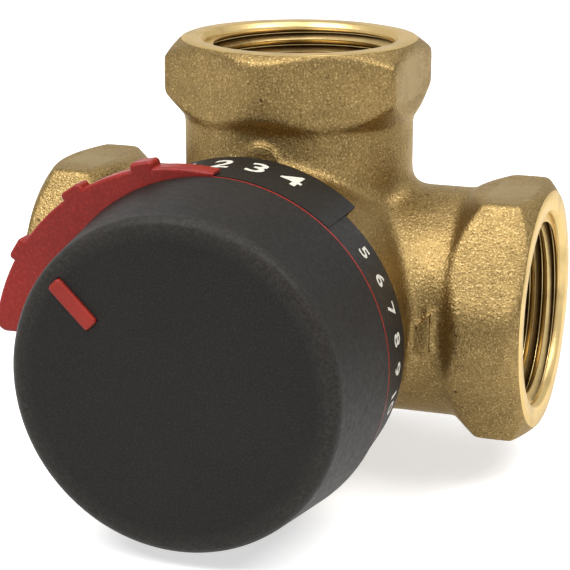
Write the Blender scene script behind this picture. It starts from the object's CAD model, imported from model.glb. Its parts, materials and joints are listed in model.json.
import json
import math

import bmesh
import bpy
import numpy as np
from bpy.props import FloatProperty, FloatVectorProperty, IntProperty, PointerProperty
from mathutils import Matrix, Vector


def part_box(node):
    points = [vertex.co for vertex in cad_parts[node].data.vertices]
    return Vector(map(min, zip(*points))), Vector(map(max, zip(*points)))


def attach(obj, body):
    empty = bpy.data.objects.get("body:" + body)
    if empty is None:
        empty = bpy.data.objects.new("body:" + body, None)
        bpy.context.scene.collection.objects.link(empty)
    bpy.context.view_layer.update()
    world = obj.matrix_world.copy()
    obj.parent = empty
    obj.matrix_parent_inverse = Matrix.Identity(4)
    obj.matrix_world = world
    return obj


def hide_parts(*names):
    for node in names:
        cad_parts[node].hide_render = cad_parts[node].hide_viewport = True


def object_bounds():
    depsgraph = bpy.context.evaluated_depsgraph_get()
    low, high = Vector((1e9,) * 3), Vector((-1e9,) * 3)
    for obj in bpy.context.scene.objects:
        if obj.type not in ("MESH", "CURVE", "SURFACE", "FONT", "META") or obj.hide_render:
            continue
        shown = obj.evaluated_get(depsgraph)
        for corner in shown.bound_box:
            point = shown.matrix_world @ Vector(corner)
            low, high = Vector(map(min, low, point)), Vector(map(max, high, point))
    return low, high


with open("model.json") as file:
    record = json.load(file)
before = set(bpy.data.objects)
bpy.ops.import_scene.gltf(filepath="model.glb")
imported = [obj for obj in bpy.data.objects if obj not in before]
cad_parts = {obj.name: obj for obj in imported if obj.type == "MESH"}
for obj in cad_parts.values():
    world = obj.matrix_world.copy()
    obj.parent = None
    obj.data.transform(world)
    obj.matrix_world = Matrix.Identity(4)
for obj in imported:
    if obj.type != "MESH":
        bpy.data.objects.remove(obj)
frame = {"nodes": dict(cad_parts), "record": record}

bl_info = {
    "name": "Rotary mixing valve",
    "version": (1, 0, 0),
    "blender": (4, 5, 0),
    "location": "3D View > Sidebar > Valve",
    "description": "Cast skin, threads, dial print, finishes and stage of a rotary mixing valve",
    "category": "Object",
}

MM = 0.001
CAD_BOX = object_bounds()
BODY_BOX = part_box("valve_body")
DRUM_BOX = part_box("scale_drum")
PORT_MOUNTS = [m for m in frame["record"]["mounts"] if m["kind"] == "threaded_hole"]
PORT_AXES = [Vector(m["axis"]) for m in PORT_MOUNTS]
PORT_REACH = BODY_BOX[1].x
THREAD_RADIUS = PORT_MOUNTS[0]["dims"]["r_mm"] * MM
THREAD_WALL = PORT_MOUNTS[0]["dims"]["length_mm"] * MM
THREAD_MIDDLE = abs(Vector(PORT_MOUNTS[0]["pos_m"]).dot(PORT_AXES[0]))
STEM = Vector((0, -1, 0))
STEM_FRONT = -BODY_BOX[0].y

# Vertices this close are one, a vertex this close lies in a plane, and a cut this fine.
MERGE = 0.001 * MM
TOUCH = 0.01 * MM
CUT = 0.0001 * MM

# Sizes of the body that the skin is cut and smoothed by.
NECK_RADIUS = 16.05 * MM
CHAMBER_RADIUS = 21 * MM
REAR_RADIUS = 17 * MM
REAR_DEPTH = BODY_BOX[1].y
CHAMBER_BORE = 15 * MM
BUSH_SEAT = 14 * MM
SEAT_RADIUS = 17 * MM
FACE_RADIUS = 16.5 * MM
FLOW_RADIUS = 10 * MM
COLLAR_ROOT = 25.3 * MM
MOUTH_DEPTH = 14 * MM
MOUTH_RADIUS = THREAD_RADIUS + 0.7 * MM
MARK_REACH = 21.2 * MM
MARK_WIDTH = 5.4 * MM
MARK_SINK = 1.2 * MM
MARK_CLEAR = MARK_WIDTH * 0.62

# How far around a joint of the body its skin is evened out.
JUNCTION_REACH = 2.8 * MM
ROOT_MIDDLE = COLLAR_ROOT + 1 * MM
ROOT_REACH = 2.2 * MM

# A hollow this deep is fully brown. The trimmed flash: where it lies and half its width.
HOLLOW_DEPTH = 0.16 * MM
HOLLOW_PASSES = 24
FLASH_PLACE = -1 * MM
FLASH_REACH = 7.5 * MM

# The knob's front, whose edge is rubbed.
KNOB_RADIUS = 21.55 * MM
KNOB_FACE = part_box("knob_cap")[0].y

# The drum's side under the print, and how fast it widens towards the front.
DRUM_SIDE = 23.11 * MM
DRUM_TAPER = 0.049

# The numbers of the dial, each with the angle that it stands at, in degrees.
PANEL_NUMBERS = (("1", 106), ("2", 94), ("3", 82), ("4", 70))
SIDE_NUMBERS = (("5", 37), ("6", 27), ("7", 17), ("8", 7), ("9", -3), ("10", -14))

# Camera: its place, and the three directions of its picture.
CAMERA_PLACE = (0.089409, -0.267957, 0.080711)
CAMERA_RIGHT = (0.94623, 0.32349, 0.00222)
CAMERA_UP = (-0.09068, 0.25864, 0.96171)
CAMERA_BACK = (0.31053, -0.91020, 0.27407)
CAMERA_SHIFT = (-0.0009, -0.0021)

# Lamps: name, place and size. Each points at the middle of the valve.
LAMPS = (
    ("key_lamp", (-0.20, -0.34, 0.58), 0.42),
    ("side_lamp", (0.40, -0.12, 0.56), 0.30),
    ("top_lamp", (0.05, 0.10, 0.60), 0.35),
)

# Tint of metal at a glancing angle, and colours that only one finish uses.
EDGE_TINT = (0.90, 0.80, 0.62, 1)
PIT_COLOUR = (0.05, 0.03, 0.012)
GREASE_COLOUR = (0.08, 0.045, 0.016)
RUBBED_COLOUR = (0.050, 0.045, 0.038)
COMPOUND_COLOUR = (0.03, 0.03, 0.032)
SLIDE_COLOUR = (0.70, 0.69, 0.66)
RUBBER_COLOUR = (0.018, 0.018, 0.019)
STEEL_COLOURS = (0.30, 0.30, 0.31), (0.62, 0.62, 0.63)
DRAWN_BRASS = (0.50, 0.34, 0.12)


# ---------------------------------------------------------------- settings

class CastingSettings(bpy.types.PropertyGroup):
    """Sizes and colours of the blasted casting."""
    cell: FloatProperty(
        name="Cell", description="Size of a cell of the skin", default=0.4 * MM,
        min=0.2 * MM, max=2 * MM, precision=5, subtype="DISTANCE", unit="LENGTH")
    edge_passes: IntProperty(
        name="Edge passes", description="Smoothing passes over all edges", default=4,
        min=0, max=40)
    junction_passes: IntProperty(
        name="Junction passes", description="Smoothing passes where necks and chamber meet",
        default=16, min=0, max=200)
    root_passes: IntProperty(
        name="Root passes", description="Smoothing passes where collars leave their necks",
        default=2, min=0, max=60)
    machining: FloatProperty(
        name="Machining", description="Stock that is cut off each port face", default=2 * MM,
        min=0.5 * MM, max=5 * MM, precision=5, subtype="DISTANCE", unit="LENGTH")
    brass: FloatVectorProperty(
        name="Brass", description="Colour of the blasted brass", default=(0.25, 0.168, 0.062),
        size=3, min=0, max=1, subtype="COLOR")
    brown: FloatVectorProperty(
        name="Brown", description="Colour of the oxide in the hollows",
        default=(0.085, 0.052, 0.018), size=3, min=0, max=1, subtype="COLOR")
    glint: FloatVectorProperty(
        name="Glint", description="Colour of the bright grains", default=(0.55, 0.40, 0.19),
        size=3, min=0, max=1, subtype="COLOR")
    trimmed: FloatVectorProperty(
        name="Trimmed", description="Colour of the patches where the flash was trimmed",
        default=(0.30, 0.235, 0.12), size=3, min=0, max=1, subtype="COLOR")
    turned: FloatVectorProperty(
        name="Turned brass", description="Colour of the machined brass",
        default=(0.68, 0.50, 0.22), size=3, min=0, max=1, subtype="COLOR")
    grain: FloatProperty(
        name="Grain", description="Height of the blasted grain", default=0.085 * MM,
        min=0, max=1 * MM, precision=6, subtype="DISTANCE", unit="LENGTH")
    tool_lines: FloatProperty(
        name="Tool lines", description="Distance from one tool line to the next",
        default=0.11 * MM, min=0.02 * MM, max=1 * MM, precision=6, subtype="DISTANCE",
        unit="LENGTH")
    grain_size: FloatProperty(
        name="Grain size", description="Distance from grain to grain", default=0.27 * MM,
        min=0.05 * MM, max=2 * MM, precision=6, subtype="DISTANCE", unit="LENGTH")
    roughness: FloatProperty(
        name="Roughness", description="Roughness of the blasted brass", default=0.37,
        min=0, max=1)
    metallic: FloatProperty(
        name="Metallic", description="Share of the blasted brass that shines as metal",
        default=0.88, min=0, max=1)
    mark_height: FloatProperty(
        name="Mark height", description="How far a port mark stands on its neck",
        default=0.70 * MM, min=0.1 * MM, max=2 * MM, precision=5, subtype="DISTANCE",
        unit="LENGTH")
    mark_bevel: FloatProperty(
        name="Mark bevel", description="Width of the rounding around a port mark",
        default=0.3 * MM, min=0.05 * MM, max=1 * MM, precision=5, subtype="DISTANCE",
        unit="LENGTH")
    mark_passes: IntProperty(
        name="Mark passes", description="Smoothing passes over the raised marks", default=2,
        min=0, max=20)


class ThreadSettings(bpy.types.PropertyGroup):
    """Sizes of the port threads."""
    pitch: FloatProperty(
        name="Pitch", description="Pitch of the pipe thread", default=1.814 * MM,
        min=0.5 * MM, max=5 * MM, precision=5, subtype="DISTANCE", unit="LENGTH")
    depth: FloatProperty(
        name="Depth", description="Depth of the pipe thread", default=1.16 * MM,
        min=0.2 * MM, max=3 * MM, precision=5, subtype="DISTANCE", unit="LENGTH")
    mouth: FloatProperty(
        name="Mouth", description="Radial width of the chamfer at the mouth",
        default=0.55 * MM, min=0, max=2 * MM, precision=5, subtype="DISTANCE", unit="LENGTH")
    land: FloatProperty(
        name="Land", description="Plain length between the mouth and the first ridge",
        default=0.35 * MM, min=0, max=5 * MM, precision=5, subtype="DISTANCE", unit="LENGTH")
    steps: IntProperty(
        name="Steps", description="Steps in one turn", default=144, min=24, max=360)


class PrintSettings(bpy.types.PropertyGroup):
    """Sizes and colour of the dial print on the drum."""
    height: FloatProperty(
        name="Height", description="Height of the numbers on the panel", default=4.4 * MM,
        min=1 * MM, max=8 * MM, precision=5, subtype="DISTANCE", unit="LENGTH")
    depth: FloatProperty(
        name="Depth", description="Valve centre to the middle of the numbers",
        default=26.8 * MM, min=20 * MM, max=34 * MM, precision=5, subtype="DISTANCE",
        unit="LENGTH")
    side_height: FloatProperty(
        name="Side height", description="Height of the numbers down the side",
        default=2.7 * MM, min=1 * MM, max=6 * MM, precision=5, subtype="DISTANCE",
        unit="LENGTH")
    side_depth: FloatProperty(
        name="Side depth", description="Valve centre to the middle of the side's numbers",
        default=29.2 * MM, min=20 * MM, max=34 * MM, precision=5, subtype="DISTANCE",
        unit="LENGTH")
    thickness: FloatProperty(
        name="Thickness", description="How far the print stands on the drum",
        default=0.02 * MM, min=0, max=0.2 * MM, precision=6, subtype="DISTANCE",
        unit="LENGTH")
    colour: FloatVectorProperty(
        name="Colour", description="Colour of the print", default=(0.74, 0.70, 0.60),
        size=3, min=0, max=1, subtype="COLOR")


class PlasticSettings(bpy.types.PropertyGroup):
    """Colours of the moulded pieces."""
    knob: FloatVectorProperty(
        name="Knob", description="Colour of the knob", default=(0.0090, 0.0075, 0.0060), size=3,
        min=0, max=1, subtype="COLOR")
    drum: FloatVectorProperty(
        name="Drum", description="Colour of the drum", default=(0.008, 0.007, 0.006), size=3,
        min=0, max=1, subtype="COLOR")
    red: FloatVectorProperty(
        name="Red", description="Colour of the position scale", default=(0.25, 0.016, 0.011),
        size=3, min=0, max=1, subtype="COLOR")
    pointer: FloatVectorProperty(
        name="Pointer", description="Colour of the pointer", default=(0.27, 0.022, 0.014),
        size=3, min=0, max=1, subtype="COLOR")


class StageSettings(bpy.types.PropertyGroup):
    """Camera, floor and lamps."""
    lens: FloatProperty(
        name="Lens", description="Focal length of the camera in millimetres", default=128.74,
        min=10, max=400, subtype="NONE")
    key: FloatProperty(
        name="Key", description="Power of the key lamp", default=4.8, min=0, max=100,
        unit="POWER")
    side: FloatProperty(
        name="Side", description="Power of the side lamp", default=2.7, min=0, max=100,
        unit="POWER")
    top: FloatProperty(
        name="Top", description="Power of the lamp overhead", default=0.9, min=0, max=100,
        unit="POWER")
    ambient: FloatProperty(
        name="Ambient", description="Strength of the light from all round", default=0.24,
        min=0, max=2)


# ---------------------------------------------------------------- shader nodes

def new_material(name):
    """An empty node material and its output node."""
    material = bpy.data.materials.new(name)
    material.use_nodes = True
    material.node_tree.nodes.clear()
    output = material.node_tree.nodes.new("ShaderNodeOutputMaterial")
    return material, output


def add(tree, kind, inputs=None, **settings):
    """Adds a node with its settings, and its inputs as values or links."""
    made = tree.nodes.new(kind)
    for key, value in settings.items():
        setattr(made, key, value)
    for key, value in (inputs or {}).items():
        socket = made.inputs[key]
        if isinstance(value, bpy.types.NodeSocket):
            tree.links.new(value, socket)
        else:
            socket.default_value = value
    return made


def place(tree, scale=None):
    """Object coordinates, stretched by a scale along each axis if one is given."""
    where = add(tree, "ShaderNodeTexCoord").outputs["Object"]
    if scale is None:
        return where
    return add(tree, "ShaderNodeMapping", {"Vector": where, "Scale": scale}).outputs["Vector"]


def noise(tree, where, size, detail=2.0, roughness=0.5):
    """Noise whose features are about a size across, in metres."""
    return add(tree, "ShaderNodeTexNoise", {
        "Vector": where, "Scale": 1 / size, "Detail": detail, "Roughness": roughness}
               ).outputs["Fac"]


def cells(tree, where, size):
    """Distance to the nearest of the points that lie about a size apart."""
    return add(tree, "ShaderNodeTexVoronoi", {"Vector": where, "Scale": 1 / size}
               ).outputs["Distance"]


def band(tree, value, low, high, bottom=0.0, top=1.0):
    """Value from a low to a high mark, mapped from bottom to top and clamped."""
    return add(tree, "ShaderNodeMapRange", {
        "Value": value, "From Min": low, "From Max": high, "To Min": bottom, "To Max": top}
               ).outputs["Result"]


def calc(tree, operation, first, second=0.0):
    """Arithmetic on one or two values."""
    return add(tree, "ShaderNodeMath", {0: first, 1: second}, operation=operation
               ).outputs["Value"]


def tint(tree, factor, first, second):
    """Colour between a first and a second one."""
    def solid(value):
        return value if isinstance(value, bpy.types.NodeSocket) else (*value, 1)
    return add(tree, "ShaderNodeMix", {0: factor, 6: solid(first), 7: solid(second)},
               data_type="RGBA").outputs[2]


def bump(tree, height, distance, strength=1.0, under=None):
    """Normal of a surface with a height in it, over another bump if one is given."""
    inputs = {"Height": height, "Distance": distance, "Strength": strength}
    if under is not None:
        inputs["Normal"] = under
    return add(tree, "ShaderNodeBump", inputs).outputs["Normal"]


def stored(tree, name):
    """A value that the mesh holds for each vertex."""
    return add(tree, "ShaderNodeAttribute", attribute_name=name).outputs["Fac"]


def seen_directly(tree):
    """1 for what the camera sees itself, as a gloss or through glass, and 0 otherwise."""
    path = add(tree, "ShaderNodeLightPath")
    seen = calc(tree, "MAXIMUM", path.outputs["Is Camera Ray"], path.outputs["Is Glossy Ray"])
    return calc(tree, "MAXIMUM", seen, path.outputs["Is Transmission Ray"])


def surface(tree, output, **inputs):
    """The shader of the surface, with its constants on its own sockets."""
    named = {key.replace("_", " "): value for key, value in inputs.items()}
    shader = add(tree, "ShaderNodeBsdfPrincipled", named)
    tree.links.new(shader.outputs["BSDF"], output.inputs["Surface"])


def cast_brass(s):
    """Blasted brass: fine grain, brown hollows, a few pits and smoother trimmed patches."""
    material, output = new_material("blasted_brass")
    tree = material.node_tree
    where = place(tree)
    edge = calc(tree, "MULTIPLY", noise(tree, where, 3.5 * MM, 4.0, 0.6), 1.1)
    patch = band(tree, calc(tree, "ADD", stored(tree, "trim"), edge), 0.75, 1.25)
    cloud = noise(tree, where, 11 * MM, 4.0, 0.6)
    mottle = noise(tree, where, 2.2 * MM, 3.0, 0.6)
    grain = noise(tree, where, s.grain_size, 2.0, 0.6)
    fine = noise(tree, where, s.grain_size * 0.45, 1.0, 0.5)
    dents = cells(tree, where, s.grain_size * 1.9)
    deep = tuple(part * 0.72 for part in s.brass)
    colour = tint(tree, band(tree, cloud, 0.35, 0.68), s.brass, deep)
    colour = tint(tree, band(tree, mottle, 0.46, 0.75, 0.0, 0.35), colour, s.brown)
    colour = tint(tree, band(tree, stored(tree, "hollow"), 0.6, 1.0, 0.0, 0.15), colour, s.brown)
    colour = tint(tree, band(tree, grain, 0.30, 0.45, 0.75, 0.0), colour, s.brown)
    colour = tint(tree, band(tree, grain, 0.55, 0.70, 0.0, 0.6), colour, s.glint)
    pits = calc(tree, "MULTIPLY", band(tree, cells(tree, where, 5 * MM), 0.03, 0.07, 1.0, 0.0),
                band(tree, mottle, 0.4, 0.5))
    colour = tint(tree, pits, colour, PIT_COLOUR)
    colour = tint(tree, calc(tree, "MULTIPLY", patch, 0.6), colour, s.trimmed)
    height = calc(tree, "ADD", grain, calc(tree, "MULTIPLY", fine, 0.4))
    height = calc(tree, "ADD", height, calc(tree, "MULTIPLY", dents, 0.4))
    height = calc(tree, "SUBTRACT", height, calc(tree, "MULTIPLY", pits, 0.8))
    strength = band(tree, patch, 0.0, 1.0, 1.0, 0.25)
    normal = bump(tree, height, s.grain, strength)
    normal = bump(tree, mottle, 0.12 * MM, 0.5, normal)
    roughness = band(tree, cloud, 0.3, 0.7, s.roughness - 0.05, s.roughness + 0.06)
    surface(tree, output, Base_Color=colour, Metallic=s.metallic, Roughness=roughness,
            Normal=normal, Specular_Tint=EDGE_TINT)
    return material


def turned_brass(s):
    """Machined brass with fine tool lines around each bore, dark in the thread's grooves."""
    material, output = new_material("turned_brass")
    tree = material.node_tree
    where = place(tree)
    turns = calc(tree, "MULTIPLY", stored(tree, "lathe"), 1 / s.tool_lines)
    lines = add(tree, "ShaderNodeTexNoise", {
        "W": turns, "Scale": 1.0, "Detail": 3.0, "Roughness": 0.6}, noise_dimensions="1D"
                ).outputs["Fac"]
    cloud = noise(tree, where, 5 * MM, 3.0)
    dull = tuple(part * 0.7 for part in s.turned)
    colour = tint(tree, band(tree, lines, 0.3, 0.7), dull, s.turned)
    colour = tint(tree, band(tree, cloud, 0.5, 0.75, 0.0, 0.4), colour, s.brown)
    spots = calc(tree, "MULTIPLY", noise(tree, where, 0.7 * MM, 3.0), 0.5)
    grease = calc(tree, "ADD", stored(tree, "groove"), spots)
    colour = tint(tree, band(tree, grease, 0.45, 1.25, 0.0, 0.85), colour, GREASE_COLOUR)
    normal = bump(tree, lines, 0.012 * MM, 0.8)
    normal = bump(tree, noise(tree, where, 0.5 * MM, 2.0), 0.02 * MM, 0.35, normal)
    roughness = band(tree, lines, 0.3, 0.7, 0.24, 0.36)
    surface(tree, output, Base_Color=colour, Metallic=1.0, Roughness=roughness, Normal=normal,
            Specular_Tint=EDGE_TINT)
    return material


def rubbed(tree, where, colour):
    """A colour with pale grains along the rounded front edge of the knob."""
    parts = add(tree, "ShaderNodeSeparateXYZ", {"Vector": where}).outputs
    squares = [calc(tree, "MULTIPLY", parts[name], parts[name]) for name in "XZ"]
    off = calc(tree, "SQRT", calc(tree, "ADD", *squares))
    edge = calc(tree, "MULTIPLY", band(tree, off, KNOB_RADIUS - 3 * MM, KNOB_RADIUS - 1 * MM),
                band(tree, parts["Y"], KNOB_FACE + 2.2 * MM, KNOB_FACE + 0.7 * MM))
    grains = band(tree, noise(tree, where, 0.4 * MM, 3.0, 0.65), 0.40, 0.70, 0.12, 0.5)
    return tint(tree, calc(tree, "MULTIPLY", edge, grains), colour, RUBBED_COLOUR)


def moulded(name, colour, spark, roughness, grain, depth, specular=0.35, edged=False):
    """Moulded plastic with an eroded grain, fine pale specks and faint clouds."""
    material, output = new_material(name)
    tree = material.node_tree
    where = place(tree)
    fine = noise(tree, where, grain, 2.0, 0.6)
    coarse = noise(tree, where, grain * 3, 2.0, 0.5)
    cloud = noise(tree, where, 12 * MM, 2.0)
    pale = tuple(min(1.0, part * 2 + 0.012) for part in colour)
    deep = tuple(part * 0.75 for part in colour)
    mixed = tint(tree, band(tree, cloud, 0.3, 0.7), deep, colour)
    mixed = tint(tree, band(tree, fine, 0.5, 0.7, 0.0, spark), mixed, pale)
    if edged:
        mixed = rubbed(tree, where, mixed)
    height = calc(tree, "ADD", fine, calc(tree, "MULTIPLY", coarse, 0.6))
    normal = bump(tree, height, depth)
    rough = band(tree, coarse, 0.3, 0.7, roughness - 0.05, roughness + 0.07)
    surface(tree, output, Base_Color=mixed, Roughness=rough, Normal=normal,
            Specular_IOR_Level=specular)
    return material


def drawn_steel():
    """Spring wire with lines along the turn."""
    material, output = new_material("drawn_steel")
    tree = material.node_tree
    where = place(tree, (1.0, 9.0, 1.0))
    lines = noise(tree, where, 0.4 * MM, 3.0)
    colour = tint(tree, lines, *STEEL_COLOURS)
    surface(tree, output, Base_Color=colour, Metallic=1.0,
            Roughness=band(tree, lines, 0.3, 0.7, 0.25, 0.4),
            Normal=bump(tree, lines, 0.01 * MM))
    return material


# ---------------------------------------------------------------- meshes

def along_and_off(point, axis):
    """How far a point lies along an axis through the valve's centre, and how far off it."""
    along = point.dot(axis)
    return along, (point - axis * along).length


def merged_copy(node):
    """A copy of a CAD node's mesh with its triangles joined up."""
    bm = bmesh.new()
    bm.from_mesh(frame["nodes"][node].data)
    bmesh.ops.remove_doubles(bm, verts=bm.verts, dist=MERGE)
    return bm


def is_inside(face):
    """Whether a face of the body belongs to its machined inside or to a machined end."""
    middle = face.calc_center_median()
    for axis in PORT_AXES:
        along, off = along_and_off(middle, axis)
        if along > PORT_REACH - TOUCH:
            return True
        if along > MOUTH_DEPTH and off < MOUTH_RADIUS:
            return True
        if along > 0 and off < FLOW_RADIUS + 0.2 * MM:
            return True
    along, off = along_and_off(middle, STEM)
    return (along > STEM_FRONT - TOUCH
            or (along > BUSH_SEAT - 0.1 * MM and off < SEAT_RADIUS + 2 * MM)
            or (along > -CHAMBER_BORE and off < CHAMBER_BORE + 0.2 * MM))


def is_mouth(face):
    """Whether a face belongs to a port's face, mouth, thread wall or run-out."""
    middle = face.calc_center_median()
    for axis in PORT_AXES:
        along, off = along_and_off(middle, axis)
        if along > PORT_REACH - TOUCH:
            return True
        if along > MOUTH_DEPTH + 2 * MM and off < MOUTH_RADIUS:
            return True
    return False


def new_object(name, bm, *materials):
    """An object at the origin from a finished mesh, with its faces shaded smooth."""
    mesh = bpy.data.meshes.new(name)
    bm.to_mesh(mesh)
    bm.free()
    made = bpy.data.objects.new(name, mesh)
    bpy.context.scene.collection.objects.link(made)
    for material in materials:
        mesh.materials.append(material)
    mesh.shade_smooth()
    mesh.set_sharp_from_angle(angle=math.radians(38))
    return made


def extend(bm, edges, move):
    """Carries an open loop on along its port, and closes it with a face."""
    grown = bmesh.ops.extrude_edge_only(bm, edges=edges)["geom"]
    verts = [item for item in grown if isinstance(item, bmesh.types.BMVert)]
    for vert in verts:
        vert.co = move(vert.co)
    rim = [item for item in grown if isinstance(item, bmesh.types.BMEdge) and item.is_boundary]
    bmesh.ops.edgeloop_fill(bm, edges=rim)


def open_loop(bm, axis, level):
    """The open edges that lie in a plane across an axis."""
    return [edge for edge in bm.edges if edge.is_boundary
            and all(abs(vert.co.dot(axis) - level) < 2 * TOUCH for vert in edge.verts)]


def cut(bm, point, normal, clear_outer=False):
    """Cuts a mesh along a plane, and takes away what lies beyond it if that is asked."""
    geometry = list(bm.verts) + list(bm.edges) + list(bm.faces)
    bmesh.ops.bisect_plane(bm, geom=geometry, dist=CUT, plane_co=point, plane_no=normal,
                           clear_outer=clear_outer)


def worked_out(holder):
    """The mesh that an object's modifiers or letters give. The object goes."""
    evaluated = holder.evaluated_get(bpy.context.evaluated_depsgraph_get())
    mesh = bpy.data.meshes.new_from_object(evaluated)
    bpy.data.objects.remove(holder)
    bm = bmesh.new()
    bm.from_mesh(mesh)
    bpy.data.meshes.remove(mesh)
    return bm


def remeshed(bm, cell):
    """The mesh rebuilt from even cells."""
    raw = new_object("raw_casting", bm)
    remesh = raw.modifiers.new("cells", "REMESH")
    remesh.mode = "VOXEL"
    remesh.voxel_size = cell
    return worked_out(raw)


def chamber_radius(depth):
    """Outside of the chamber at a depth in front of the port axes."""
    if depth > 0:
        return CHAMBER_RADIUS
    return CHAMBER_RADIUS - (CHAMBER_RADIUS - REAR_RADIUS) * (depth / REAR_DEPTH) ** 2


def near_mark(point):
    """Whether a point lies on or beside one of the raised marks on the necks."""
    return point.dot(STEM) > NECK_RADIUS / 2 and any(
        (point - axis * MARK_REACH - STEM * point.dot(STEM)).length < MARK_CLEAR
        for axis in PORT_AXES)


def surfaces_near(point, reach):
    """How many of the chamber and the necks have their surface within reach of a point."""
    along, off = along_and_off(point, STEM)
    count = 1 if abs(off - chamber_radius(along)) < reach and abs(along) < STEM_FRONT else 0
    for axis in PORT_AXES:
        along, off = along_and_off(point, axis)
        if along > 0 and abs(off - NECK_RADIUS) < reach:
            count += 1
    return count


def smooth(bm, verts, passes):
    """Evens out the surface over some vertices."""
    for _ in range(passes):
        bmesh.ops.smooth_vert(bm, verts=verts, factor=0.5, use_axis_x=True, use_axis_y=True,
                              use_axis_z=True)


def spun(profile, steps):
    """A surface of revolution about Z from a chain of (radius, height) points."""
    bm = bmesh.new()
    verts = [bm.verts.new((radius, 0, height)) for radius, height in profile]
    edges = [bm.edges.new(pair) for pair in zip(verts, verts[1:])]
    bmesh.ops.spin(bm, geom=verts + edges, cent=(0, 0, 0), axis=(0, 0, 1),
                   angle=2 * math.pi, steps=steps, use_merge=True)
    bmesh.ops.remove_doubles(bm, verts=bm.verts, dist=MERGE)
    return bm


def turned_to(axis):
    """The turn that takes +Z onto a port's axis."""
    return Vector((0, 0, 1)).rotation_difference(axis).to_matrix().to_4x4()


def joined(bm, other):
    """Adds another mesh to this one and frees it."""
    mesh = bpy.data.meshes.new("joint")
    other.to_mesh(mesh)
    other.free()
    bm.from_mesh(mesh)
    bpy.data.meshes.remove(mesh)


def spread(mesh, values, passes):
    """Evens out a value per vertex over its neighbours."""
    ends = np.empty(len(mesh.edges) * 2, np.int32)
    mesh.edges.foreach_get("vertices", ends)
    ends = ends.reshape(-1, 2)
    count = np.bincount(ends.ravel(), minlength=len(values)).clip(1)
    for _ in range(passes):
        total = np.bincount(ends[:, 0], values[ends[:, 1]], len(values))
        total += np.bincount(ends[:, 1], values[ends[:, 0]], len(values))
        values = (values + total / count) / 2
    return values


def store(mesh, name, values):
    """Writes a value per vertex into the mesh."""
    layer = mesh.attributes.new(name, "FLOAT", "POINT")
    layer.data.foreach_set("value", np.asarray(values, np.float32))


def vertex_arrays(mesh):
    """Places and normals of the vertices."""
    places = np.empty(len(mesh.vertices) * 3, np.float32)
    normals = np.empty(len(mesh.vertices) * 3, np.float32)
    mesh.vertices.foreach_get("co", places)
    mesh.vertex_normals.foreach_get("vector", normals)
    return places.reshape(-1, 3).astype(float), normals.reshape(-1, 3).astype(float)


def hollows(mesh):
    """How deep each vertex lies in a hollow, about 1 at the necks' roots."""
    places, normals = vertex_arrays(mesh)
    broad = np.column_stack([spread(mesh, places[:, i], HOLLOW_PASSES) for i in range(3)])
    depth = ((broad - places) * normals).sum(axis=1)
    return np.clip(spread(mesh, depth, 3) / HOLLOW_DEPTH, 0, 1)


def trimmed(mesh):
    """1 on the collars' flats where the flash was trimmed along the parting plane."""
    places, normals = vertex_arrays(mesh)
    on_collar = np.zeros(len(places), bool)
    for axis in PORT_AXES:
        along = places @ np.array(axis)
        on_collar |= (along > COLLAR_ROOT + 3 * MM) & (along < PORT_REACH - 1.5 * MM)
    level = 1 - np.clip(np.abs(places[:, 1] - FLASH_PLACE) / FLASH_REACH, 0, 1)
    return np.where(on_collar & (np.abs(normals[:, 1]) < 0.25), level, 0)


def lathe_lines(mesh):
    """Radius plus depth about the bore that each vertex belongs to."""
    places, _ = vertex_arrays(mesh)
    stem = np.array(STEM)
    along = places @ stem
    value = np.linalg.norm(places - np.outer(along, stem), axis=1) + along
    for axis in PORT_AXES:
        port = np.array(axis)
        along = places @ port
        off = np.linalg.norm(places - np.outer(along, port), axis=1)
        value = np.where((along > MOUTH_DEPTH) & (off < FACE_RADIUS + 1 * MM),
                         off + along, value)
    return value


def grooves(mesh):
    """1 at the wall of a thread's grooves and 0 at its crests, by the distance off the port."""
    places, _ = vertex_arrays(mesh)
    value = np.zeros(len(places))
    for axis in PORT_AXES:
        port = np.array(axis)
        along = places @ port
        off = np.linalg.norm(places - np.outer(along, port), axis=1)
        threaded = ((along > THREAD_MIDDLE - THREAD_WALL / 2 - 0.1 * MM)
                    & (along < PORT_REACH - 1 * MM) & (off < THREAD_RADIUS + 0.3 * MM))
        depth = (off - THREAD_RADIUS + 1 * MM) / (0.9 * MM)
        value = np.where(threaded, np.clip(depth, 0, 1), value)
    return value


# ---------------------------------------------------------------- pieces

def forging(s):
    """The outside of the body before machining: a closed, evenly smoothed skin."""
    bm = merged_copy("valve_body")
    bmesh.ops.delete(bm, geom=[face for face in bm.faces if is_inside(face)],
                     context="FACES")
    for axis in PORT_AXES:
        def outwards(point, axis=axis):
            along = axis * point.dot(axis)
            return (point - along) * 0.85 + along + axis * s.machining
        extend(bm, open_loop(bm, axis, PORT_REACH), outwards)
    extend(bm, open_loop(bm, STEM, STEM_FRONT), lambda point: point + STEM * s.machining)
    bm = remeshed(bm, s.cell)
    plain = [vert for vert in bm.verts if not near_mark(vert.co)]
    smooth(bm, bm.verts, s.mark_passes)
    smooth(bm, plain, s.edge_passes)
    junction = [vert for vert in plain if surfaces_near(vert.co, JUNCTION_REACH) > 1]
    smooth(bm, junction, s.junction_passes)
    roots = [vert for vert in plain
             if any(abs(vert.co.dot(axis) - ROOT_MIDDLE) < ROOT_REACH for axis in PORT_AXES)]
    smooth(bm, roots, s.root_passes)
    return bm


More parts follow.
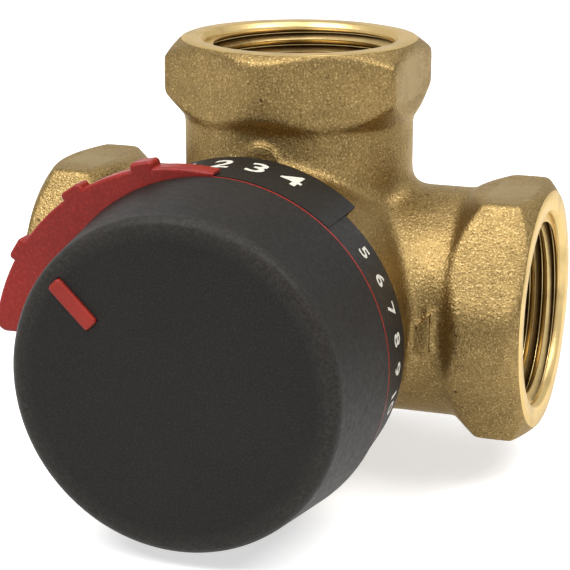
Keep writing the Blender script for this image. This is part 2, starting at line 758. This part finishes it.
def mouth_profile(t):
    """Chamfer, wall, run-out and flow bore of a port, from the face inwards."""
    wall = THREAD_RADIUS + 0.06 * MM
    bottom = THREAD_MIDDLE - THREAD_WALL / 2
    return (
        (wall + t.mouth, PORT_REACH),
        (wall + t.mouth - 0.06 * MM, PORT_REACH - 0.05 * MM),
        (wall + 0.04 * MM, PORT_REACH - t.mouth),
        (wall, PORT_REACH - t.mouth - 0.08 * MM),
        (wall, bottom),
        (FLOW_RADIUS + 0.3 * MM, bottom - 2.2 * MM),
        (FLOW_RADIUS, bottom - 2.5 * MM),
        (FLOW_RADIUS, MOUTH_DEPTH - 0.2 * MM),
    )


def add_casting(context):
    """Blasted skin, machined faces and mouths, and the machined inside."""
    s = context.scene.valve_casting
    t = context.scene.valve_thread
    bm = forging(s)
    for axis in PORT_AXES:
        cut(bm, axis * PORT_REACH, axis, True)
    cut(bm, STEM * STEM_FRONT, STEM, True)
    for face in bm.faces:
        face.material_index = 0
    for axis in PORT_AXES:
        mouth = spun(mouth_profile(t), t.steps)
        bmesh.ops.transform(mouth, matrix=turned_to(axis), verts=mouth.verts)
        for face in mouth.faces:
            face.material_index = 1
        joined(bm, mouth)
        ring = bmesh.ops.triangle_fill(bm, edges=open_loop(bm, axis, PORT_REACH),
                                       use_beauty=True, normal=axis)["geom"]
        for item in ring:
            if isinstance(item, bmesh.types.BMFace):
                item.material_index = 1
    bmesh.ops.recalc_face_normals(bm, faces=bm.faces)
    inner = merged_copy("valve_body")
    unused = [face for face in inner.faces if not is_inside(face) or is_mouth(face)]
    bmesh.ops.delete(inner, geom=unused, context="FACES")
    for face in inner.faces:
        face.material_index = 1
    joined(bm, inner)
    body = new_object("valve_casting", bm, cast_brass(s), turned_brass(s))
    store(body.data, "hollow", hollows(body.data))
    store(body.data, "trim", trimmed(body.data))
    store(body.data, "lathe", lathe_lines(body.data))
    store(body.data, "groove", grooves(body.data))
    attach(body, "valve")
    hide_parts("valve_body")


def mark_outline(name):
    """The outline of a raised mark about its middle, along its port and across it."""
    half = MARK_WIDTH / 2
    if name == "triangle":
        return [(half, -half), (half, half), (-half, -half)]
    if name == "square":
        return [(half, -half), (half, half), (-half, half), (-half, -half)]
    turns = [2 * math.pi * number / 40 for number in range(40)]
    return [(half * math.cos(turn), half * math.sin(turn)) for turn in turns]


def add_marks(context):
    """A triangle, a square and a disc with blasted edges, forged onto the necks."""
    s = context.scene.valve_casting
    marks = bmesh.new()
    for name, axis in zip(("triangle", "square", "disc"), PORT_AXES):
        across = STEM.cross(axis)
        middle = axis * MARK_REACH + STEM * (NECK_RADIUS - MARK_SINK)
        bm = bmesh.new()
        verts = [bm.verts.new(middle + axis * u + across * v) for u, v in mark_outline(name)]
        face = bm.faces.new(verts)
        grown = bmesh.ops.extrude_face_region(bm, geom=[face])["geom"]
        lifted = [item for item in grown if isinstance(item, bmesh.types.BMVert)]
        bmesh.ops.translate(bm, vec=STEM * (MARK_SINK + s.mark_height), verts=lifted)
        top = [edge for edge in bm.edges if all(vert in lifted for vert in edge.verts)]
        bmesh.ops.bevel(bm, geom=top, offset=s.mark_bevel, offset_type="OFFSET", segments=3,
                        profile=0.5, affect="EDGES", material=-1)
        bmesh.ops.recalc_face_normals(bm, faces=bm.faces)
        joined(marks, bm)
    made = new_object("port_marks", marks, bpy.data.materials["blasted_brass"])
    for attribute in ("hollow", "trim"):
        store(made.data, attribute, np.zeros(len(made.data.vertices)))
    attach(made, "valve")


def ridge(t):
    """One helical ridge on the wall of a port, cut off square below the mouth's chamfer."""
    wall = THREAD_RADIUS + 0.12 * MM
    crest = THREAD_RADIUS - t.depth
    half = t.pitch / 2
    end = PORT_REACH - t.mouth - t.land
    top = end + half
    turns = (top - (THREAD_MIDDLE - THREAD_WALL / 2) - half) / t.pitch
    steps = round(turns * t.steps)
    bm = bmesh.new()
    profile = (
        (wall, half), (THREAD_RADIUS - 0.08 * MM, half * 0.84),
        (crest + 0.16 * MM, half * 0.22), (crest, half * 0.08), (crest, -half * 0.08),
        (crest + 0.16 * MM, -half * 0.22), (THREAD_RADIUS - 0.08 * MM, -half * 0.84),
        (wall, -half),
    )
    verts = [bm.verts.new((radius, 0, top + height)) for radius, height in profile]
    start = bm.faces.new(verts)
    bmesh.ops.spin(bm, geom=[start], cent=(0, 0, 0), axis=(0, 0, 1),
                   dvec=(0, 0, -t.pitch / t.steps), angle=2 * math.pi * turns, steps=steps)
    bmesh.ops.remove_doubles(bm, verts=bm.verts, dist=CUT)
    cut(bm, (0, 0, end), (0, 0, 1), True)
    bmesh.ops.holes_fill(bm, edges=[edge for edge in bm.edges if edge.is_boundary], sides=0)
    bmesh.ops.recalc_face_normals(bm, faces=bm.faces)
    return bm


def add_threads(context):
    """A helical pipe thread in each port."""
    t = context.scene.valve_thread
    brass = bpy.data.materials["turned_brass"]
    for mount in PORT_MOUNTS:
        bm = ridge(t)
        bmesh.ops.transform(bm, matrix=turned_to(Vector(mount["axis"])), verts=bm.verts)
        thread = new_object("thread_" + mount["name"], bm, brass)
        store(thread.data, "lathe", lathe_lines(thread.data))
        store(thread.data, "groove", grooves(thread.data))
        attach(thread, "valve")


def wrapped(bm, radius, angle, depth, thickness, taper=0.0):
    """Lays a flat drawing on the drum, its tops to the rear, and gives it a thickness."""
    low = min(vert.co.x for vert in bm.verts)
    high = max(vert.co.x for vert in bm.verts)
    cuts = max(1, int((high - low) / (0.5 * MM)))
    for number in range(1, cuts):
        cut(bm, (low + (high - low) * number / cuts, 0, 0), (1, 0, 0))
    for vert in bm.verts:
        turn = math.radians(angle) - vert.co.x / radius
        reach = radius - vert.co.y * taper
        vert.co = Vector((reach * math.cos(turn), vert.co.y - depth, reach * math.sin(turn)))
    bmesh.ops.recalc_face_normals(bm, faces=bm.faces)
    middle = sum((face.calc_center_median() for face in bm.faces), Vector()) / len(bm.faces)
    if bm.faces[:][0].normal.dot(Vector((middle.x, 0, middle.z))) < 0:
        bmesh.ops.reverse_faces(bm, faces=bm.faces)
    grown = bmesh.ops.extrude_face_region(bm, geom=list(bm.faces))["geom"]
    for item in grown:
        if isinstance(item, bmesh.types.BMVert):
            out = Vector((item.co.x, 0, item.co.z)).normalized()
            item.co += out * thickness


def number_drawing(text, height):
    """A flat number, centred, as a mesh."""
    curve = bpy.data.curves.new("number", "FONT")
    curve.body = text
    curve.size = height * 1.38
    curve.offset = height * 0.018
    curve.align_x = "CENTER"
    curve.align_y = "CENTER"
    holder = bpy.data.objects.new("number", curve)
    bpy.context.scene.collection.objects.link(holder)
    bm = worked_out(holder)
    bpy.data.curves.remove(curve)
    bmesh.ops.remove_doubles(bm, verts=bm.verts, dist=MERGE)
    return bm


def add_print(context):
    """A plain dial on the drum: numbers on the panel and down the side."""
    p = context.scene.valve_print
    ink, output = new_material("dial_print")
    tree = ink.node_tree
    where = place(tree)
    worn = noise(tree, where, 0.35 * MM, 3.0)
    faded = tuple(part * 0.72 for part in p.colour)
    surface(tree, output, Base_Color=tint(tree, band(tree, worn, 0.35, 0.6), faded, p.colour),
            Roughness=0.55, Normal=bump(tree, worn, 0.01 * MM))
    marks = bmesh.new()
    for text, angle in PANEL_NUMBERS:
        drawing = number_drawing(text, p.height)
        wrapped(drawing, DRUM_BOX[1].z, angle, p.depth, p.thickness)
        joined(marks, drawing)
    for text, angle in SIDE_NUMBERS:
        drawing = number_drawing(text, p.side_height)
        wrapped(drawing, DRUM_SIDE, angle, p.side_depth, p.thickness, DRUM_TAPER)
        joined(marks, drawing)
    bmesh.ops.recalc_face_normals(marks, faces=marks.faces)
    dial = new_object("dial_print", marks, ink)
    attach(dial, "valve")


def repaint(nodes, material):
    """Gives CAD nodes a finish."""
    for name in nodes:
        node = frame["nodes"][name]
        if not node.material_slots:
            node.data.materials.append(material)
        for slot in node.material_slots:
            slot.material = material


def finish_plastics(context):
    """Finishes of the knob, the drum, the scale and the pointer."""
    p = context.scene.valve_plastic
    repaint(["knob_cap"], moulded("knob_black", p.knob, spark=0.5, roughness=0.5,
                                  grain=0.26 * MM, depth=0.03 * MM, specular=0.16, edged=True))
    repaint(["scale_drum"], moulded("drum_black", p.drum, spark=0.4, roughness=0.5,
                                    grain=0.26 * MM, depth=0.02 * MM, specular=0.16))
    repaint(["position_scale"], moulded("scale_red", p.red, spark=0.3, roughness=0.4,
                                        grain=0.4 * MM, depth=0.02 * MM, specular=0.2))
    repaint(["knob_pointer"], moulded("pointer_red", p.pointer, spark=0.1, roughness=0.42,
                                      grain=0.4 * MM, depth=0.01 * MM, specular=0.2))


def finish_inner(context):
    """Finishes of the pieces inside the valve."""
    s = context.scene.valve_casting
    repaint(["bush", "shaft"],
            moulded("glass_filled_black", COMPOUND_COLOUR, spark=0.6, roughness=0.5,
                    grain=0.6 * MM, depth=0.02 * MM))
    repaint(["thrust_washer", "rotor_bearing_ring"],
            moulded("slide_white", SLIDE_COLOUR, spark=0.2, roughness=0.35, grain=0.8 * MM,
                    depth=0.01 * MM))
    repaint(["bush_o_ring", "inner_shaft_o_ring", "outer_shaft_o_ring"],
            moulded("seal_rubber", RUBBER_COLOUR, spark=0.3, roughness=0.6, grain=0.25 * MM,
                    depth=0.01 * MM))
    repaint(["bush_snap_ring", "hub_spring_ring"], drawn_steel())
    material, output = new_material("rotor_brass")
    tree = material.node_tree
    where = place(tree, (1.0, 14.0, 1.0))
    lines = noise(tree, where, 1.2 * MM, 3.0)
    surface(tree, output, Metallic=1.0, Base_Color=tint(tree, lines, DRAWN_BRASS, s.turned),
            Roughness=band(tree, lines, 0.3, 0.7, 0.26, 0.38),
            Normal=bump(tree, lines, 0.02 * MM, 0.7))
    repaint(["rotor"], material)


# ---------------------------------------------------------------- stage

def add_lamp(name, place_at, size, power):
    """A square lamp that points at the middle of the valve."""
    light = bpy.data.lights.new(name, "AREA")
    light.shape = "SQUARE"
    light.size = size
    light.energy = power
    lamp = bpy.data.objects.new(name, light)
    bpy.context.scene.collection.objects.link(lamp)
    lamp.location = place_at
    lamp.rotation_mode = "QUATERNION"
    lamp.rotation_quaternion = (-Vector(place_at)).to_track_quat("-Z", "Y")


def add_floor():
    """A wide pale floor just under the valve."""
    material, output = new_material("pale_floor")
    tree = material.node_tree
    where = place(tree)
    tone = tint(tree, noise(tree, where, 0.6, 2.0), (0.80, 0.80, 0.80), (0.84, 0.84, 0.84))
    matt = add(tree, "ShaderNodeBsdfDiffuse", {"Color": tone}).outputs[0]
    away = add(tree, "ShaderNodeVectorMath", {0: where}, operation="LENGTH").outputs["Value"]
    level = calc(tree, "MULTIPLY", seen_directly(tree), band(tree, away, 0.15, 1.2, 0.62, 0.80))
    white = add(tree, "ShaderNodeEmission", {"Color": (1, 1, 1, 1), "Strength": level})
    both = add(tree, "ShaderNodeAddShader", {0: matt, 1: white.outputs[0]})
    tree.links.new(both.outputs[0], output.inputs["Surface"])
    bm = bmesh.new()
    bmesh.ops.create_grid(bm, x_segments=1, y_segments=1, size=6)
    bmesh.ops.translate(bm, vec=(0, 0, CAD_BOX[0].z - 0.5 * MM), verts=bm.verts)
    new_object("floor", bm, material)


def add_world(ambient):
    """Even light from all round, and a white background."""
    world = bpy.data.worlds.new("studio")
    world.use_nodes = True
    tree = world.node_tree
    tree.nodes.clear()
    output = add(tree, "ShaderNodeOutputWorld")
    soft = add(tree, "ShaderNodeBackground", {"Color": (1, 1, 1, 1), "Strength": ambient})
    white = add(tree, "ShaderNodeBackground", {"Color": (1, 1, 1, 1), "Strength": 1.0})
    both = add(tree, "ShaderNodeMixShader", {
        0: seen_directly(tree), 1: soft.outputs[0], 2: white.outputs[0]})
    tree.links.new(both.outputs[0], output.inputs["Surface"])
    bpy.context.scene.world = world


def set_stage(context):
    """Floor, lamps, background and camera."""
    g = context.scene.valve_stage
    add_floor()
    add_world(g.ambient)
    for lamp, power in zip(LAMPS, (g.key, g.side, g.top)):
        add_lamp(*lamp, power)
    data = bpy.data.cameras.new("camera")
    data.lens = g.lens
    data.sensor_width = 36
    data.shift_x, data.shift_y = CAMERA_SHIFT
    data.clip_start = 0.01
    data.clip_end = 50
    camera = bpy.data.objects.new("camera", data)
    bpy.context.scene.collection.objects.link(camera)
    turned = Matrix((CAMERA_RIGHT, CAMERA_UP, CAMERA_BACK)).transposed().to_4x4()
    camera.matrix_world = Matrix.Translation(CAMERA_PLACE) @ turned
    bpy.context.scene.camera = camera
    bpy.context.scene.view_settings.view_transform = "Standard"


# ---------------------------------------------------------------- add-on

class VALVE_OT_casting(bpy.types.Operator):
    """Add the cast skin and the machined inside of the body"""
    bl_idname = "valve.casting"
    bl_label = "Casting"
    bl_options = {"REGISTER", "UNDO"}

    def execute(self, context):
        add_casting(context)
        return {"FINISHED"}


class VALVE_OT_marks(bpy.types.Operator):
    """Add the raised mark in front of each port's neck"""
    bl_idname = "valve.marks"
    bl_label = "Port marks"
    bl_options = {"REGISTER", "UNDO"}

    def execute(self, context):
        add_marks(context)
        return {"FINISHED"}


class VALVE_OT_threads(bpy.types.Operator):
    """Add the thread in each port"""
    bl_idname = "valve.threads"
    bl_label = "Port threads"
    bl_options = {"REGISTER", "UNDO"}

    def execute(self, context):
        add_threads(context)
        return {"FINISHED"}


class VALVE_OT_print(bpy.types.Operator):
    """Add the dial print on the drum"""
    bl_idname = "valve.dial_print"
    bl_label = "Dial print"
    bl_options = {"REGISTER", "UNDO"}

    def execute(self, context):
        add_print(context)
        return {"FINISHED"}


class VALVE_OT_plastics(bpy.types.Operator):
    """Finish the knob, the drum, the scale and the pointer"""
    bl_idname = "valve.plastics"
    bl_label = "Moulded pieces"
    bl_options = {"REGISTER", "UNDO"}

    def execute(self, context):
        finish_plastics(context)
        return {"FINISHED"}


class VALVE_OT_inner(bpy.types.Operator):
    """Finish the pieces inside the valve"""
    bl_idname = "valve.inner"
    bl_label = "Inner pieces"
    bl_options = {"REGISTER", "UNDO"}

    def execute(self, context):
        finish_inner(context)
        return {"FINISHED"}


class VALVE_OT_stage(bpy.types.Operator):
    """Add the floor, the lamps, the background and the camera"""
    bl_idname = "valve.stage"
    bl_label = "Stage"
    bl_options = {"REGISTER", "UNDO"}

    def execute(self, context):
        set_stage(context)
        return {"FINISHED"}


SETTINGS = {
    "valve_casting": CastingSettings,
    "valve_thread": ThreadSettings,
    "valve_print": PrintSettings,
    "valve_plastic": PlasticSettings,
    "valve_stage": StageSettings,
}
OPERATORS = (VALVE_OT_casting, VALVE_OT_marks, VALVE_OT_threads, VALVE_OT_print,
             VALVE_OT_plastics, VALVE_OT_inner, VALVE_OT_stage)


class VALVE_PT_sidebar(bpy.types.Panel):
    """Lists the operators and their settings"""
    bl_idname = "VALVE_PT_sidebar"
    bl_label = "Rotary mixing valve"
    bl_space_type = "VIEW_3D"
    bl_region_type = "UI"
    bl_category = "Valve"

    def draw(self, context):
        layout = self.layout
        for operator in OPERATORS:
            layout.operator(operator.bl_idname)
        for name, group in SETTINGS.items():
            box = layout.box()
            box.label(text=group.__doc__)
            settings = getattr(context.scene, name)
            for key in group.__annotations__:
                box.prop(settings, key)


def register():
    """Registers the classes and the scene's settings."""
    for name, group in SETTINGS.items():
        bpy.utils.register_class(group)
        setattr(bpy.types.Scene, name, PointerProperty(type=group))
    for operator in OPERATORS:
        bpy.utils.register_class(operator)
    bpy.utils.register_class(VALVE_PT_sidebar)


def unregister():
    """Takes the classes and the settings away again."""
    bpy.utils.unregister_class(VALVE_PT_sidebar)
    for operator in reversed(OPERATORS):
        bpy.utils.unregister_class(operator)
    for name, group in reversed(SETTINGS.items()):
        delattr(bpy.types.Scene, name)
        bpy.utils.unregister_class(group)


def main():
    """Builds everything in order and writes the sizes."""
    register()
    bpy.ops.valve.casting()
    bpy.ops.valve.marks()
    bpy.ops.valve.threads()
    bpy.ops.valve.dial_print()
    bpy.ops.valve.plastics()
    bpy.ops.valve.inner()
    bpy.ops.valve.stage()


if __name__ == "__main__":
    main()
